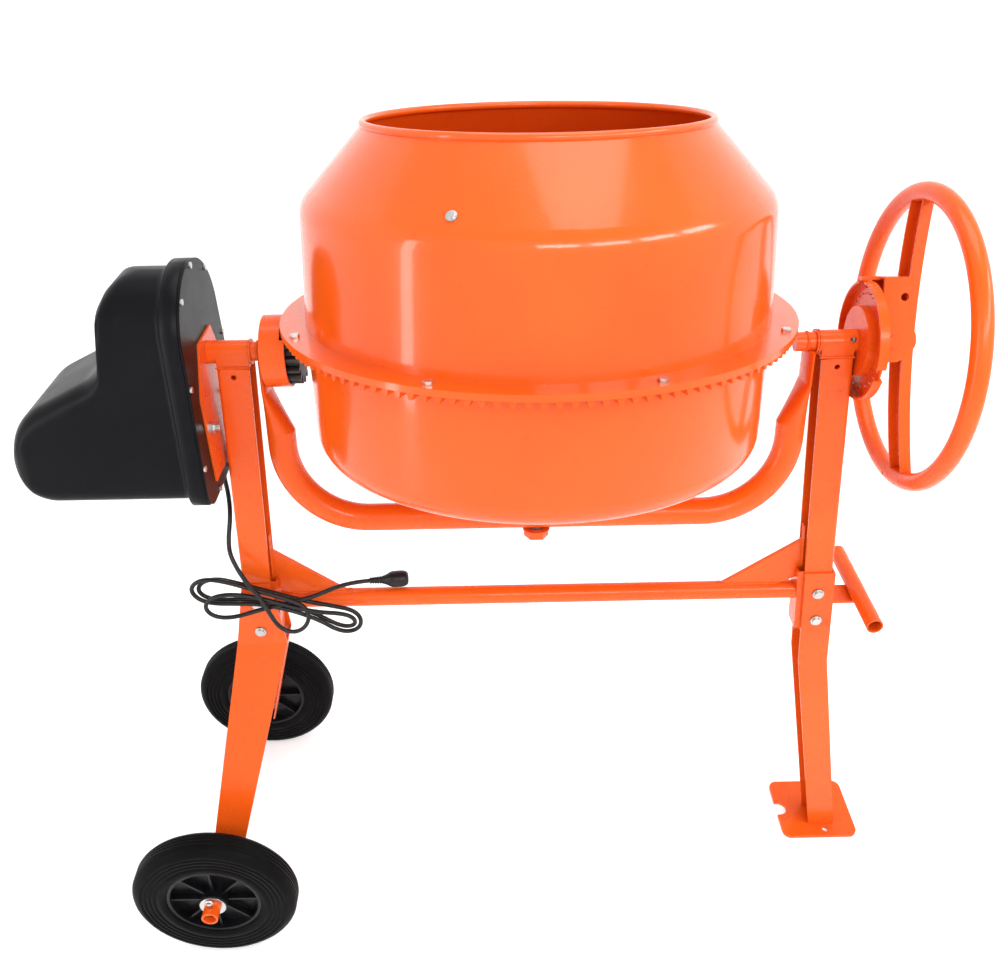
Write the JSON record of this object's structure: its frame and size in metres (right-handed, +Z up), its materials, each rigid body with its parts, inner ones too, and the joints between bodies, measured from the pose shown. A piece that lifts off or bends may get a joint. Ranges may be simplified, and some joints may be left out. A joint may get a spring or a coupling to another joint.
{
  "type": "concrete mixer",
  "caption": "Tilting-drum concrete mixer on a wheeled frame, with a drum in a yoke, belt and crown-gear drive, handwheel tilt lock and two transport wheels.",
  "frame": {"origin": "bottom centre of the box round the mixer without its cord, on the floor", "axes": "+X along the tilt axis from the drive housing to the handwheel, +Y towards the switch side (the drum leans that way at rest), +Z up"},
  "size_m": [1.251, 0.6356, 1.2457],
  "materials": {
    "orange paint": "gloss",
    "drum paint": "gloss",
    "zinc": "satin",
    "steel": "satin",
    "cast iron": "matt",
    "black plastic": "satin",
    "hub plastic": "satin",
    "rubber": "matt",
    "tyre": "matt",
    "green plastic": "gloss",
    "red plastic": "gloss",
    "aluminium": "satin"
  },
  "bodies": {
    "frame": {"left_stand": "orange paint", "right_stand": "orange paint", "left_sleeve": "orange paint", "right_sleeve": "orange paint", "cross_tube": "orange paint", "gussets": "orange paint", "front_wheel_leg": "orange paint", "rear_wheel_leg": "orange paint", "foot_leg": "orange paint", "foot_plate": "orange paint", "lift_handle": "orange paint", "lock_disc": "orange paint", "mounting_plate": "orange paint", "axle": "orange paint", "axle_keepers": "zinc", "frame_bolts": "zinc", "cover_screws": "zinc", "back_plate": "black plastic", "motor_cover": "black plastic", "switch_box": "black plastic", "cable_gland": "black plastic", "capacitor": "black plastic", "motor_body": "aluminium", "drive_belt": "rubber", "power_cord": "rubber", "cord_hank": "rubber", "plug": "rubber"},
    "yoke": {"yoke": "orange paint", "left_trunnion": "orange paint", "right_trunnion": "orange paint", "pinion_guard": "orange paint", "bearing_housing": "orange paint", "trunnion_washers": "orange paint", "wheel_pin": "orange paint", "shaft_bushes": "steel", "drum_bearings": "steel", "lock_spring": "steel"},
    "drum": {"lower_drum": "drum paint", "upper_drum": "drum paint", "mixing_blades": "drum paint", "drum_seal": "rubber", "ring_gear": "orange paint", "shaft_nut": "orange paint", "drum_shaft": "steel", "drum_bolts": "zinc"},
    "pinion": {"pinion": "cast iron", "drive_shaft": "steel", "driven_pulley": "black plastic"},
    "motor_rotor": {"motor_shaft": "steel", "motor_pulley": "aluminium", "motor_fan": "black plastic"},
    "handwheel": {"wheel_rim": "orange paint", "wheel_bar": "orange paint", "lock_bracket": "orange paint"},
    "front_wheel": {"front_tyre": "tyre", "front_hub": "hub plastic"},
    "rear_wheel": {"rear_tyre": "tyre", "rear_hub": "hub plastic"},
    "start_button": {"start_button": "green plastic"},
    "stop_button": {"stop_button": "red plastic"}
  },
  "joints": [
    {"name": "yoke_tilt", "type": "hinge", "parent": "frame", "child": "yoke", "pos_m": [0.05049, -0.00621, 0.94], "axis": [1, 0, 0], "range_deg": [-120, 120]},
    {"name": "drum_spin", "type": "hinge", "parent": "yoke", "child": "drum", "pos_m": [0.05049, -0.00621, 0.94], "axis": [0, 0.1305, 0.9914], "continuous": true},
    {"name": "pinion_spin", "type": "hinge", "parent": "yoke", "child": "pinion", "pos_m": [-0.26451, -0.00621, 0.94], "axis": [1, 0, 0], "continuous": true},
    {"name": "motor_spin", "type": "hinge", "parent": "frame", "child": "motor_rotor", "pos_m": [-0.48951, -0.00621, 0.84], "axis": [1, 0, 0], "continuous": true},
    {"name": "wheel_rock", "type": "hinge", "parent": "yoke", "child": "handwheel", "pos_m": [0.50249, -0.00621, 0.94], "axis": [0, 0.9455, -0.3256], "range_deg": [-5, 4], "stiffness_Nm_per_rad": 60},
    {"name": "front_wheel_spin", "type": "hinge", "parent": "frame", "child": "front_wheel", "pos_m": [-0.44951, -0.22321, 0.125], "axis": [0, 1, 0], "continuous": true},
    {"name": "rear_wheel_spin", "type": "hinge", "parent": "frame", "child": "rear_wheel", "pos_m": [-0.44951, 0.21079, 0.125], "axis": [0, 1, 0], "continuous": true},
    {"name": "start_press", "type": "slide", "parent": "frame", "child": "start_button", "axis": [0, -1, 0], "range_m": [0, 0.003], "stiffness_N_per_m": 300},
    {"name": "stop_press", "type": "slide", "parent": "frame", "child": "stop_button", "axis": [0, -1, 0], "range_m": [0, 0.003], "stiffness_N_per_m": 300}
  ],
  "couplings": [
    {"joint": "pinion_spin", "follows": "drum_spin", "ratio": 8},
    {"joint": "motor_spin", "follows": "drum_spin", "ratio": 56}
  ]
}
